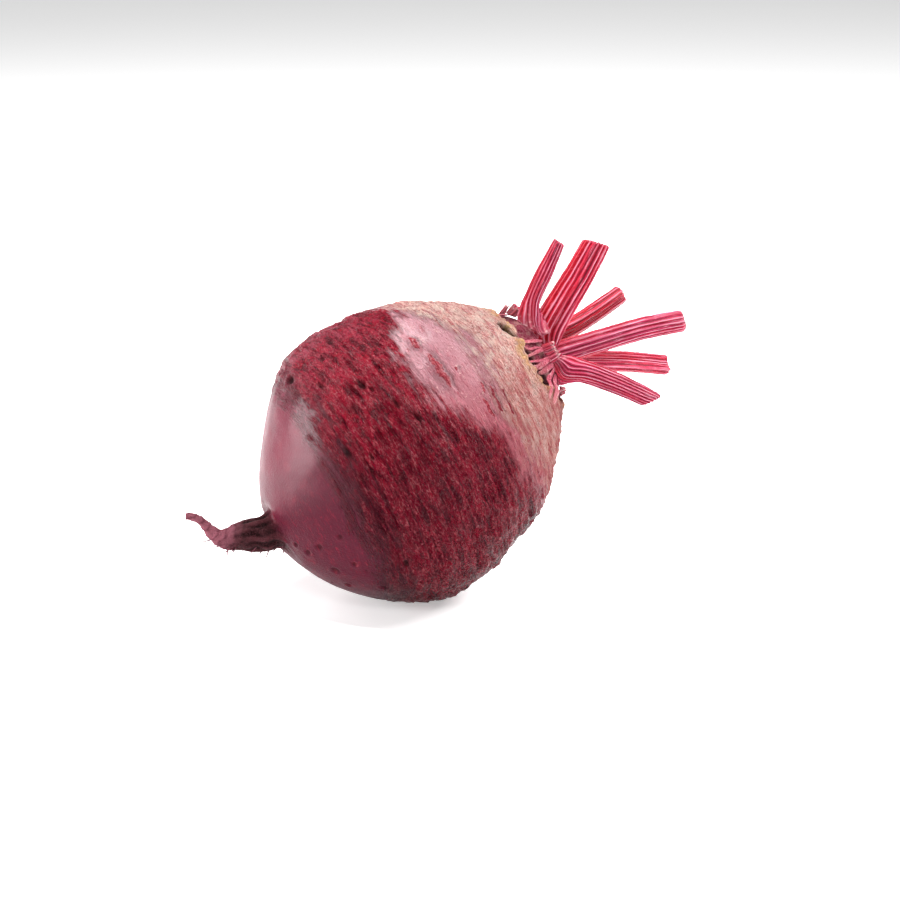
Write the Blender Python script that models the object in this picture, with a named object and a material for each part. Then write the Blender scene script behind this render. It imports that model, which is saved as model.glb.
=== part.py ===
"""Beetroot lying on its side: a root (bulb and curled taproot), six cut leaf stalks and stubs of older leaves.

The beet's axis runs from the taproot up to the crown. It lies in the XZ plane, tilted up towards +X, and the
bulb rests on a small flat spot. In the beet's own frame, and in the crown's, +X leads up the slope (up), +Y
towards the world's -Y (near) and +Z along the axis towards the leaf stalks (out). Sizes are in metres and
angles in degrees.
"""

import math

import bmesh
import bpy
import numpy as np
from mathutils import Vector
from mathutils.bvhtree import BVHTree

# Bulb
BULB_RADIUS = 0.0430  # at the widest section, from which heights along the axis are counted
CROWN_HEIGHT = 0.0505  # up to the rim of the crown
ROOT_DEPTH = 0.0425  # down to the neck of the taproot
RIM_RADIUS = 0.0145
ROOT_NECK_RADIUS = 0.0070
CROWN_OFFSET = 0.0056  # the bulb's middle line bends up the slope by this much at the crown
LOWER_SAG = 0.0006  # and sags by this much half way to the taproot
LUMP_HEIGHT = 0.0022
LUMP_SIZE = 0.034
AXIS_TILT = 25.0

# (share of the height, share of the way from the end's radius to the bulb's), from the widest section outwards
UPPER_PROFILE = ((0.10, 0.985), (0.44, 0.840), (0.71, 0.530), (0.91, 0.190), (1.0, 0.0))
LOWER_PROFILE = ((0.0, 1.0), (0.24, 0.965), (0.53, 0.760), (0.77, 0.465), (0.92, 0.210), (1.0, 0.0))

# The crown's low dome inside the rim: (radius as a share of the rim's, height as a share of the dome's)
DOME_HEIGHT = 0.0034
DOME_PROFILE = ((0.15, 1.0), (0.45, 0.88), (0.80, 0.55), (1.0, 0.0))

# Taproot: (up, near, out, radius), counted from the middle of its neck
TAPROOT = (
    (0.0026, -0.0008, -0.0044, 0.0054),
    (0.0042, -0.0018, -0.0094, 0.0043),
    (0.0054, -0.0028, -0.0130, 0.0031),
    (0.0080, -0.0040, -0.0149, 0.0021),
    (0.0116, -0.0052, -0.0157, 0.0016),
    (0.0143, -0.0060, -0.0170, 0.0013),
    (0.0157, -0.0066, -0.0194, 0.0011),
)

# Resting spot and fits
FLAT_SINK = 0.0011  # the bulb is flattened by this much where it rests
GAP = 0.0003  # between pieces that touch
FOOT = 0.0030  # each stalk starts this far below its seat, before the crown trims it

# Petiole sections
RIB_COUNT = 7
RIB_DEPTH = 0.05
CHANNEL = 0.75  # 0 leaves the inner side round, 1 cuts its groove to the middle

# Mesh steps
ROOT_SIDES = 44
UPPER_RINGS = 16
LOWER_RINGS = 15
TAPROOT_RINGS = 15
SECTION_POINTS = 28
STALK_RINGS = 9
STUB_RINGS = 5

SKIN = ((0.165, 0.012, 0.030), 0.55)
STALK_RED = ((0.560, 0.020, 0.085), 0.42)
STUB_PINK = ((0.360, 0.070, 0.085), 0.70)

# Each leaf stalk: its seat on the crown as shares (up, near) of the rim's radius, its width and thickness there,
# the stations (up, near, out, width, thickness) of its middle line counted from the seat, the direction (up, near)
# its ribbed back faces, how far the edges of its foot curl in round the crown, and how far one edge of the cut end
# stands beyond the middle.
STALKS = {
    "leaf_stalk_centre": dict(
        seat=(0.15, 0.14),
        size=(0.0100, 0.0066),
        line=(
            (0.0056, 0.0000, 0.0082, 0.0094, 0.0066),
            (0.0124, -0.0002, 0.0203, 0.0087, 0.0064),
            (0.0181, -0.0004, 0.0291, 0.0080, 0.0060),
        ),
        back=(0.75, 0.65),
        curl=0.0006,
        slant=-0.0008,
    ),
    "leaf_stalk_long": dict(
        seat=(-0.25, -0.14),
        size=(0.0080, 0.0058),
        line=(
            (-0.0037, 0.0010, 0.0159, 0.0074, 0.0056),
            (-0.0080, 0.0014, 0.0324, 0.0070, 0.0054),
            (-0.0127, 0.0020, 0.0458, 0.0068, 0.0052),
        ),
        back=(-0.70, 0.70),
        curl=0.0006,
        slant=-0.0012,
    ),
    "leaf_stalk_far": dict(
        seat=(0.05, -0.52),
        size=(0.0068, 0.0050),
        line=(
            (-0.0037, -0.0009, 0.0115, 0.0066, 0.0050),
            (-0.0047, -0.0021, 0.0214, 0.0064, 0.0050),
            (-0.0049, -0.0045, 0.0364, 0.0062, 0.0048),
        ),
        back=(0.60, -0.80),
        curl=0.0006,
        slant=0.0010,
    ),
    "leaf_stalk_low_far": dict(
        seat=(-0.45, -0.43),
        size=(0.0072, 0.0048),
        line=(
            (-0.0054, -0.0010, 0.0118, 0.0064, 0.0048),
            (-0.0178, -0.0043, 0.0305, 0.0062, 0.0048),
            (-0.0259, -0.0060, 0.0414, 0.0060, 0.0046),
        ),
        back=(-0.80, -0.60),
        curl=0.0006,
        slant=-0.0004,
    ),
    "leaf_stalk_top": dict(
        seat=(0.67, 0.60),
        size=(0.0112, 0.0030),
        line=(
            (0.0041, 0.0000, 0.0006, 0.0094, 0.0034),
            (0.0081, -0.0001, 0.0025, 0.0068, 0.0038),
            (0.0115, -0.0001, 0.0069, 0.0056, 0.0040),
            (0.0165, -0.0001, 0.0137, 0.0042, 0.0036),
            (0.0199, -0.0001, 0.0183, 0.0036, 0.0032),
        ),
        back=(0.75, 0.65),
        curl=0.0016,
        slant=0.0003,
    ),
    "leaf_stalk_low_near": dict(
        seat=(-0.22, 0.87),
        size=(0.0110, 0.0034),
        line=(
            (-0.0008, 0.0012, 0.0025, 0.0086, 0.0040),
            (-0.0030, 0.0024, 0.0063, 0.0064, 0.0044),
            (-0.0076, 0.0040, 0.0108, 0.0060, 0.0042),
            (-0.0149, 0.0059, 0.0169, 0.0056, 0.0040),
            (-0.0209, 0.0068, 0.0212, 0.0050, 0.0038),
        ),
        back=(-0.20, 0.98),
        curl=0.0016,
        slant=0.0022,
    ),
}

# Each stub of an old leaf: its place round the rim (0 is up the slope, 90 the near side), how far it rises along
# the axis and reaches away from it, and its width and thickness at the rim.
STUBS = {
    "leaf_stub_top": dict(place=2, rise=0.0026, reach=0.0014, width=0.0066, thick=0.0026),
    "leaf_stub_near": dict(place=75, rise=0.0036, reach=0.0016, width=0.0076, thick=0.0022),
    "leaf_stub_low_near": dict(place=138, rise=0.0024, reach=0.0008, width=0.0084, thick=0.0024),
    "leaf_stub_low": dict(place=176, rise=0.0032, reach=0.0012, width=0.0076, thick=0.0022),
    "leaf_stub_low_far": dict(place=214, rise=0.0028, reach=0.0020, width=0.0084, thick=0.0024),
    "leaf_stub_far": dict(place=252, rise=0.0042, reach=0.0018, width=0.0074, thick=0.0024),
    "leaf_stub_back": dict(place=290, rise=0.0032, reach=0.0020, width=0.0082, thick=0.0024),
    "leaf_stub_top_far": dict(place=326, rise=0.0030, reach=0.0014, width=0.0076, thick=0.0026),
}
STUB_INSET = 0.0012  # its foot stands this far inside the rim
STUB_TAPER = 0.75  # width and thickness at the torn end, as a share of those at the rim
STUB_CURL = 0.14  # curl of its edges, as a share of its width


def clear_scene():
    for obj in list(bpy.data.objects):
        bpy.data.objects.remove(obj)


def new_collection(name):
    collection = bpy.data.collections.new(name)
    bpy.context.scene.collection.children.link(collection)
    return collection


def new_material(name, finish):
    colour, roughness = finish
    material = bpy.data.materials.new(name)
    material.use_nodes = True
    shader = material.node_tree.nodes["Principled BSDF"]
    shader.inputs["Base Color"].default_value = (*colour, 1.0)
    shader.inputs["Roughness"].default_value = roughness
    material.diffuse_color = (*colour, 1.0)
    return material


def new_empty(name, parent=None, location=(0, 0, 0), rotation=(0, 0, 0)):
    empty = bpy.data.objects.new(name, None)
    PARTS.objects.link(empty)
    empty.parent = parent
    empty.location = location
    empty.rotation_euler = [math.radians(angle) for angle in rotation]
    return empty


def new_object(name, shape, parent, collection, material=None):
    """An object from a bmesh, which is used up."""
    bmesh.ops.recalc_face_normals(shape, faces=shape.faces)
    mesh = bpy.data.meshes.new(name)
    shape.to_mesh(mesh)
    shape.free()
    mesh.shade_smooth()
    if material:
        mesh.materials.append(material)
    obj = bpy.data.objects.new(name, mesh)
    obj.parent = parent
    collection.objects.link(obj)
    return obj


def guide(obj):
    """Marks a cutter, which isn't part of the beetroot."""
    obj.hide_render = True
    obj.display_type = "WIRE"
    return obj


def cut(obj, cutter, solver="EXACT"):
    boolean = obj.modifiers.new("clear_of_" + cutter.name, "BOOLEAN")
    boolean.operation = "DIFFERENCE"
    boolean.solver = solver
    boolean.object = cutter


def through(points, steps):
    """A smooth Catmull-Rom line of rows through the points, whatever their number of coordinates."""
    points = np.array(points, float)
    padded = np.vstack([2 * points[0] - points[1], points, 2 * points[-1] - points[-2]])
    line = []
    for place in np.linspace(0, len(points) - 1, steps):
        first = min(int(place), len(points) - 2)
        t = place - first
        a, b, c, d = padded[first : first + 4]
        bend, twist = 2 * a - 5 * b + 4 * c - d, 3 * b - a - 3 * c + d
        line.append(0.5 * (2 * b + (c - a) * t + bend * t**2 + twist * t**3))
    return np.array(line)


# Root


def middle(height):
    """How far the bulb's middle line lies up the slope at a height."""
    if height > 0:
        return CROWN_OFFSET * height / CROWN_HEIGHT
    return -LOWER_SAG * math.sin(math.pi * min(-height / ROOT_DEPTH, 1.0))


def root_stations():
    """(up, near, out, radius) from the top of the crown's dome to the tip of the taproot."""
    stations = [
        (CROWN_OFFSET, 0.0, CROWN_HEIGHT + DOME_HEIGHT * height, RIM_RADIUS * radius)
        for radius, height in DOME_PROFILE[:-1]
    ]
    for share, fullness in through(UPPER_PROFILE[::-1], UPPER_RINGS):
        height = CROWN_HEIGHT * share
        stations.append((middle(height), 0.0, height, RIM_RADIUS + (BULB_RADIUS - RIM_RADIUS) * fullness))
    for share, fullness in through(LOWER_PROFILE, LOWER_RINGS):
        height = -ROOT_DEPTH * share
        radius = ROOT_NECK_RADIUS + (BULB_RADIUS - ROOT_NECK_RADIUS) * fullness
        stations.append((middle(height), 0.0, height, radius))
    neck = (0.0, 0.0, 0.0, ROOT_NECK_RADIUS)
    for up, near, out, radius in through((neck, *TAPROOT), TAPROOT_RINGS)[1:]:
        stations.append((up, near, out - ROOT_DEPTH, radius))
    return stations


def round_body(stations):
    """A closed bmesh of a round curve through (x, y, z, radius)."""
    data = bpy.data.curves.new("stations", "CURVE")
    data.dimensions = "3D"
    data.bevel_depth = 1.0
    data.bevel_resolution = ROOT_SIDES // 4 - 1
    data.use_fill_caps = True
    spline = data.splines.new("POLY")
    spline.points.add(len(stations) - 1)
    for point, (x, y, z, radius) in zip(spline.points, stations):
        point.co = (x, y, z, 1)
        point.radius = radius
    curve = bpy.data.objects.new("stations", data)
    PARTS.objects.link(curve)
    bpy.context.view_layer.update()
    mesh = bpy.data.meshes.new_from_object(curve.evaluated_get(bpy.context.evaluated_depsgraph_get()))
    bpy.data.objects.remove(curve)
    shape = bmesh.new()
    shape.from_mesh(mesh)
    bpy.data.meshes.remove(mesh)
    bmesh.ops.remove_doubles(shape, verts=shape.verts, dist=1e-5)
    return shape


def build_root(parent):
    root = new_object("root", round_body(root_stations()), parent, PARTS, new_material("beet_skin", SKIN))
    texture = bpy.data.textures.new("lumps", "CLOUDS")
    texture.noise_scale = LUMP_SIZE
    texture.noise_depth = 1
    lumps = root.modifiers.new("lumps", "DISPLACE")
    lumps.texture = texture
    lumps.texture_coords = "LOCAL"
    lumps.strength = LUMP_HEIGHT
    lumps.mid_level = 0.5
    return root


def grown_root(root):
    """The root swollen by the gap, which trims the foot of every stalk and stub."""
    grown = root.copy()
    grown.name = "grown_root"
    grown.data = root.data.copy()
    CUTTERS.objects.link(grown)
    swell = grown.modifiers.new("gap", "DISPLACE")
    swell.strength = GAP
    swell.mid_level = 0.0
    return guide(grown)


# Leaf stalks and stubs


def petiole_section(width, thick, curl):
    """Points (across, back) of a petiole: ribbed on its back, grooved inside, its edges curled in."""
    points = []
    for turn in np.linspace(0, 2 * math.pi, SECTION_POINTS, endpoint=False):
        across, back = math.cos(turn), math.sin(turn)
        if back > 0:
            back *= 1 + RIB_DEPTH * math.cos(2 * RIB_COUNT * turn)
        else:
            back *= 1 - CHANNEL * back**2
        points.append((across * width / 2, back * thick / 2 - curl * across**2))
    return points


def petiole(name, spec, rings, grow, parent, collection, material=None):
    """A loft of sections along a line from the foot to the cut end, each side grown by a margin."""
    shape = bmesh.new()
    line = through(spec["line"], rings)
    loops = []
    for i, (x, y, z, width, thick) in enumerate(line):
        share = i / (rings - 1)
        ahead = Vector(line[min(i + 1, rings - 1)][:3] - line[max(i - 1, 0)][:3]).normalized()
        back = Vector((*spec["back"], 0))
        back = (back - ahead * back.dot(ahead)).normalized()
        across = back.cross(ahead)
        lead = spec["slant"] * share**8 / (width / 2)
        loops.append(
            [
                shape.verts.new(Vector((x, y, z)) + across * a + back * b + ahead * (a * lead))
                for a, b in petiole_section(width + 2 * grow, thick + 2 * grow, spec["curl"] * (1 - share) ** 2)
            ]
        )
    for low, high in zip(loops, loops[1:]):
        for k in range(SECTION_POINTS):
            after = (k + 1) % SECTION_POINTS
            shape.faces.new((low[k], low[after], high[after], high[k]))
    shape.faces.new(loops[0])
    shape.faces.new(loops[-1])
    return new_object(name, shape, parent, collection, material)


def on_dome(up, near):
    """The point of the crown's dome at shares (up, near) of the rim's radius."""
    height = DOME_HEIGHT * np.interp(math.hypot(up, near), *zip(*DOME_PROFILE))
    return np.array((up * RIM_RADIUS, near * RIM_RADIUS, height))


def stalk_spec(spec):
    """The stalk's line in the crown's frame, with a foot below its seat."""
    seat = on_dome(*spec["seat"])
    first = np.array(spec["line"][0][:3])
    foot = seat - first / np.linalg.norm(first) * FOOT
    line = [(*foot, *spec["size"]), (*seat, *spec["size"])]
    line += [(*(seat + station[:3]), *station[3:]) for station in spec["line"]]
    return dict(spec, line=line)


def stub_spec(spec):
    """A stub as a short petiole that stands on the rim with its back to the outside."""
    angle = math.radians(spec["place"])
    away = np.array((math.cos(angle), math.sin(angle), 0.0))
    rise = np.array((0.0, 0.0, spec["rise"]))
    size, end = (spec["width"], spec["thick"]), (spec["width"] * STUB_TAPER, spec["thick"] * STUB_TAPER)
    foot = away * (RIM_RADIUS - STUB_INSET) - np.array((0.0, 0.0, FOOT))
    top = away * (RIM_RADIUS + spec["reach"]) + rise
    line = ((*foot, *size), (*top, *end))
    return dict(line=line, back=away[:2], curl=STUB_CURL * spec["width"], slant=0.0)


def face_tree(obj):
    corners = [vertex.co for vertex in obj.data.vertices]
    return BVHTree.FromPolygons(corners, [face.vertices for face in obj.data.polygons])


def surfaces_cross(a, b):
    """Whether two pieces of the same frame run into each other."""
    return bool(face_tree(a).overlap(face_tree(b)))


def build_leaves(crown, root_cutter):
    """Every stalk and stub, each trimmed by the root and by the pieces before it that it runs into.

    EXACT loses a whole piece where two of them only graze, so these cuts use MANIFOLD.
    """
    red = new_material("leaf_stalk", STALK_RED)
    pink = new_material("leaf_stub", STUB_PINK)
    pieces = [(name, stalk_spec(spec), STALK_RINGS, red) for name, spec in STALKS.items()]
    pieces += [(name, stub_spec(spec), STUB_RINGS, pink) for name, spec in STUBS.items()]
    cutters = []
    for name, spec, rings, material in pieces:
        obj = petiole(name, spec, rings, 0.0, crown, PARTS, material)
        cut(obj, root_cutter, "MANIFOLD")
        for cutter in cutters:
            if surfaces_cross(obj, cutter):
                cut(obj, cutter, "MANIFOLD")
        cutters.append(guide(petiole("grown_" + name, spec, rings, GAP, crown, CUTTERS)))


# Placing


def box_of(objects):
    """Lowest and highest corner of the objects as they stand, modifiers included."""
    bpy.context.view_layer.update()
    graph = bpy.context.evaluated_depsgraph_get()
    points = []
    for obj in objects:
        evaluated = obj.evaluated_get(graph)
        points += [evaluated.matrix_world @ vertex.co for vertex in evaluated.to_mesh().vertices]
        evaluated.to_mesh_clear()
    points = np.array(points)
    return points.min(axis=0), points.max(axis=0)


def floor_cutter():
    """A block whose top is the surface that the beet rests on."""
    side = 4 * BULB_RADIUS
    shape = bmesh.new()
    bmesh.ops.create_cube(shape, size=side)
    bmesh.ops.translate(shape, verts=shape.verts, vec=(0, 0, -side / 2))
    return guide(new_object("floor", shape, None, CUTTERS))


def set_down(axis, root):
    """Lowers the beet until its flat spot is on the ground, and centres its box on the origin."""
    low, _ = box_of([root])
    axis.location.z -= low[2] + FLAT_SINK
    cut(root, floor_cutter())
    low, high = box_of([obj for obj in PARTS.objects if obj.type == "MESH"])
    axis.location.x -= (low[0] + high[0]) / 2
    axis.location.y -= (low[1] + high[1]) / 2


def main():
    axis = new_empty("beet_axis", rotation=(0, AXIS_TILT - 90, 180))
    crown = new_empty("crown", parent=axis, location=(CROWN_OFFSET, 0, CROWN_HEIGHT))
    root = build_root(axis)
    build_leaves(crown, grown_root(root))
    set_down(axis, root)


clear_scene()
PARTS = new_collection("beetroot")
CUTTERS = new_collection("cutters")
main()
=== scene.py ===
import heapq
import math

import bpy
import numpy as np
from bpy.props import FloatProperty, FloatVectorProperty, IntProperty, PointerProperty
from mathutils import Matrix, Vector


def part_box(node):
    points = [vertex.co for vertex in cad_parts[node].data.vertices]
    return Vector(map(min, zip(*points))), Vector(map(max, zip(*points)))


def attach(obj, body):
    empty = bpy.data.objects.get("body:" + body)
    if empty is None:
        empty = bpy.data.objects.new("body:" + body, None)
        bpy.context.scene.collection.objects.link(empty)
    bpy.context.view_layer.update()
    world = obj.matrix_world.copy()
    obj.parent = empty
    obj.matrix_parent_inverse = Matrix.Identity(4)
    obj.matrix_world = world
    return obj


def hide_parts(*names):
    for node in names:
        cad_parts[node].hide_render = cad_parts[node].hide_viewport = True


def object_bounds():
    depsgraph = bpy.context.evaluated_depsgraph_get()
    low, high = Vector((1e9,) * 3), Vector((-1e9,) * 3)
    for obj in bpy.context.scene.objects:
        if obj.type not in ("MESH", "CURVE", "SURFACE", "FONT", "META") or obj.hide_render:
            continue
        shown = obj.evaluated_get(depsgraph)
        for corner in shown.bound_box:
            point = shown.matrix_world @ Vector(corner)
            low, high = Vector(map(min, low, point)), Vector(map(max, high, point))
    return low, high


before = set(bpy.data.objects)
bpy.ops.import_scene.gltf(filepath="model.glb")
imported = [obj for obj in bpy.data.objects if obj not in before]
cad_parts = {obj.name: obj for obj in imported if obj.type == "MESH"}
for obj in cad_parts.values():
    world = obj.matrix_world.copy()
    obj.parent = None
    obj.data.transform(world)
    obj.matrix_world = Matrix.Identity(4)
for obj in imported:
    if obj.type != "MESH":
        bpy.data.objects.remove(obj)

bl_info = {
    "name": "Beetroot",
    "version": (1, 0, 0),
    "blender": (4, 5, 0),
    "location": "View3D > Sidebar > Beetroot",
    "description": "Builds a fresh beetroot with cut leaf stalks round its packed CAD frame",
    "category": "Object",
}

CAD_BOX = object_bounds()
MM = 1000.0
FAR = 1e9  # mm

# The beetroot's own axis: it lies tilted, with its crown up and out.
TILT = math.radians(25)
UP_SLOPE = Vector((-math.sin(TILT), 0, math.cos(TILT)))
NEAR = Vector((0, -1, 0))
OUT = Vector((math.cos(TILT), 0, math.sin(TILT)))
AXES = Matrix((UP_SLOPE, NEAR, OUT))
WIDEST_SHARE = (0.55575, 0.49852, 0.47844)  # the middle of the widest section, as a share of the root's box
CROWN = np.array((5.6, 0.0, 50.5))  # mm along the axes: the middle of the crown
TAIL_START = -38.0  # mm along the axis: the taproot lies beyond it
TAIL_LENGTH = 60.0  # mm over its surface
CROWN_START = 30.0  # mm along the axis: only what lies past it can be crown
PAST_BOX = 0.0008  # m that the relief may stand past the CAD's box


def widest_middle():
    low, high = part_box("root")
    return Vector(low[i] + WIDEST_SHARE[i] * (high[i] - low[i]) for i in range(3))


MIDDLE = widest_middle()

STALKS = {
    # name: ribs round it, how red it is from 0 (pink) to 1, groove depth, how far its ribs stand out in mm
    "leaf_stalk_centre": (16, 0.80, 0.42, 0.25),
    "leaf_stalk_long": (17, 0.30, 0.38, 0.85),
    "leaf_stalk_far": (13, 1.00, 0.34, 0.65),
    "leaf_stalk_low_far": (15, 0.60, 0.34, 0.55),
    "leaf_stalk_top": (13, 0.40, 0.30, 0.15),
    "leaf_stalk_low_near": (17, 0.45, 0.38, 0.40),
}
TOP_STALK_SLIM = 0.8  # mm taken off each side of the top stalk's foot
FIBRE_RADIUS = 3.2  # mm: the round tube on which a stalk's colours are laid out
STUB_RIBS, STUB_GROOVE = 11, 0.22  # ribs round a stub, their depth in mm
STUBS = {
    # name: how withered it is from 0 (fresh and pink) to 1 (dark red), ragged depth in mm
    "leaf_stub_top": (0.90, 1.6),
    "leaf_stub_near": (0.10, 1.6),
    "leaf_stub_low_near": (0.25, 2.6),
    "leaf_stub_low": (0.35, 1.2),
    "leaf_stub_low_far": (0.50, 1.1),
    "leaf_stub_far": (0.35, 1.5),
    "leaf_stub_back": (0.60, 1.2),
    "leaf_stub_top_far": (0.90, 1.6),
}

# Where the rough band ends and the cork begins, in mm along the axis, for degrees round it
BAND_END = (
    ((-180, 18), (-120, 12), (-60, 9), (-25, 11), (0, 17), (14, 15), (28, 7), (45, 6))
    + ((58, 8), (68, 14), (80, 20), (110, 23), (145, 23), (180, 18))
)
CORK_START = (
    ((-180, 29), (-120, 29), (-60, 25), (-25, 19), (0, 18), (14, 22))
    + ((30, 29), (58, 28), (72, 25), (95, 27), (140, 30), (180, 29))
)

# Corky scars that stand proud of the skin: degrees round the axis, mm along it, length, width and
# height in mm, strength
SCARS = (
    (44.5, 14.2, 12.5, 1.55, 0.90, 1.0),
    (29.0, 13.3, 5.4, 1.30, 0.70, 0.9),
    (31.0, 10.6, 2.4, 0.60, 0.25, 0.5),
    (24.0, 18.0, 5.4, 0.70, 0.30, 0.5),
    (47.0, 19.0, 1.2, 1.0, 0.25, 0.9),
    (68.0, 20.5, 7.0, 0.9, 0.25, 0.8),
    (59.0, 22.5, 4.2, 0.80, 0.25, 0.7),
    (63.0, 24.6, 5.0, 0.90, 0.25, 0.8),
    (70.0, 24.0, 4.6, 0.80, 0.25, 0.8),
    (66.0, 27.5, 3.6, 0.65, 0.20, 0.6),
    (74.0, 27.0, 5.2, 0.80, 0.25, 0.7),
    (21.0, 24.5, 4.2, 0.60, 0.25, 0.5),
    (9.0, 22.0, 4.6, 0.60, 0.25, 0.5),
    (37.0, 26.0, 3.2, 0.50, 0.20, 0.5),
    (-6.0, 26.5, 3.6, 0.60, 0.25, 0.5),
    (-38.0, 12.0, 8.0, 1.1, 0.50, 0.9),
    (-95.0, 15.0, 10.0, 1.2, 0.55, 1.0),
    (-140.0, 9.0, 6.0, 1.0, 0.45, 0.8),
    (150.0, 8.0, 7.0, 1.0, 0.45, 0.8),
    (-118.0, 22.0, 5.0, 0.8, 0.35, 0.7),
)
# Hollows in the skin: degrees round, mm along, length, width, depth in mm, darkness
HOLLOWS = (
    (33.5, -6.5, 3.4, 1.6, 0.70, 0.9),
    (37.5, -5.0, 1.8, 1.0, 0.45, 0.8),
    (-1.0, -18.4, 3.6, 2.6, 0.80, 0.9),
    (11.0, -9.0, 2.4, 1.4, 0.45, 0.7),
    (-25.0, -2.0, 3.0, 1.5, 0.60, 0.8),
    (-70.0, -12.0, 4.0, 1.8, 0.60, 0.8),
    (-150.0, -4.0, 3.0, 1.8, 0.60, 0.8),
    (112.0, -20.0, 2.6, 1.5, 0.50, 0.8),
    (52.0, -19.5, 2.6, 1.2, 0.35, 0.8),
    (60.0, -15.5, 3.0, 1.0, 0.35, 0.8),
    (40.0, -12.0, 3.2, 1.0, 0.35, 0.7),
    (20.0, -14.0, 2.4, 1.0, 0.35, 0.6),
    (5.0, -4.0, 3.0, 1.1, 0.35, 0.6),
    (48.0, -2.0, 3.4, 1.0, 0.35, 0.8),
    (57.0, 1.0, 3.0, 1.0, 0.35, 0.7),
)
# Red sores low on the skin: degrees round, mm along, size in mm
SORES = (
    (98, -40.6, 1.6),
    (106, -39.0, 2.0),
    (97, -36.8, 2.2),
    (123, -35.2, 2.4),
    (112, -31.0, 1.6),
    (140, -33.0, 2.0),
    (90, -31.5, 1.4),
    (132, -26.0, 1.8),
)
SORE_DEPTH = 0.35  # mm
PITS, PIT_DEPTH = 26, 0.30  # how many small pits the hidden side has, their depth in mm
# Old leaf bases that cross the torn edge: places as degrees round the crown, distance from its middle
# and lift in mm, then width in mm
SHEATHS = (
    (((58, 12.4, 1.3), (55, 15.6, 1.3), (52, 18.6, 0.3)), 0.60),
    (((67, 13.9, 1.6), (61, 16.8, 1.3), (56, 20.2, 0.3)), 0.34),
    (((70, 13.2, 1.4), (67, 16.0, 1.6), (66, 18.4, 0.9)), 0.50),
    (((79, 14.4, 1.8), (73, 18.2, 1.2), (67, 21.6, 0.3)), 0.36),
    (((83, 12.8, 1.7), (80, 16.2, 1.5), (76, 19.6, 0.6)), 0.85),
    (((91, 13.5, 1.5), (87, 15.8, 1.5), (84, 17.6, 1.0)), 0.75),
    (((94, 13.2, 1.4), (96, 18.0, 1.2), (99, 22.6, 0.4), (101, 24.8, 0.1)), 0.80),
    (((104, 13.8, 1.3), (104, 17.4, 1.1), (107, 21.2, 0.6), (108, 23.8, 0.1)), 1.25),
    (((111, 13.0, 1.2), (113, 15.5, 1.3), (112, 18.2, 0.6)), 0.55),
    (((118, 13.6, 1.1), (117, 17.0, 1.0), (120, 19.6, 0.3)), 0.85),
)
SHEATH_WIDTH = 1.15  # what the widths are multiplied by
SHEATH_FLAT = 0.26  # thickness as a share of the width
SHEATH_SINK = 0.35  # mm sunk into the crown
SHEATH_SIDES = 12
# Torn hollows round the crown: degrees round the crown's middle, distance from it, length, width, depth in mm
CAVITIES = (
    (35.0, 20.4, 4.2, 2.4, 2.4),
    (44.0, 19.4, 3.0, 1.4, 1.4),
    (68.0, 19.6, 5.0, 2.2, 2.0),
    (86.0, 20.2, 7.0, 3.4, 2.8),
    (120.0, 18.2, 5.0, 1.8, 1.6),
    (160.0, 17.2, 4.2, 1.6, 1.4),
    (205.0, 17.0, 5.0, 1.8, 1.5),
    (255.0, 17.4, 4.6, 1.8, 1.6),
    (305.0, 17.2, 5.2, 1.8, 1.5),
    (345.0, 17.8, 3.6, 1.6, 1.4),
)


# ---------------------------------------------------------------- sizes and colours


def length(name, about, default):
    return FloatProperty(name=name, description=about, default=default, unit="LENGTH", precision=5)


def colour(name, about, default):
    return FloatVectorProperty(name=name, description=about, default=default, size=3, subtype="COLOR", min=0, max=1)


class BeetSizes(bpy.types.PropertyGroup):
    skin_grain: length("Skin grain", "Edge of the skin's mesh", 0.00066)
    stalk_grain: length("Stalk grain", "Edge of a leaf stalk's mesh", 0.00030)
    stub_grain: length("Stub grain", "Edge of a leaf stub's mesh", 0.00028)
    wrinkle: length("Wrinkle height", "Height of the wrinkles in the rough band", 0.00062)
    crust: length("Crust height", "Height of the corky crust at the crown", 0.00058)
    fold: length("Tail folds", "Depth of the folds in the taproot", 0.00115)
    lip: length("Torn edge", "Height of the skin's torn edge round the crown", 0.00070)
    rootlets: IntProperty(name="Rootlets", description="Hair roots under the tail", default=17, min=0)
    fibres: IntProperty(name="Torn fibres", description="Torn fibres at the crown", default=20, min=0)
    floor: length("Floor radius", "Radius of the pale floor", 5.0)


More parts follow.
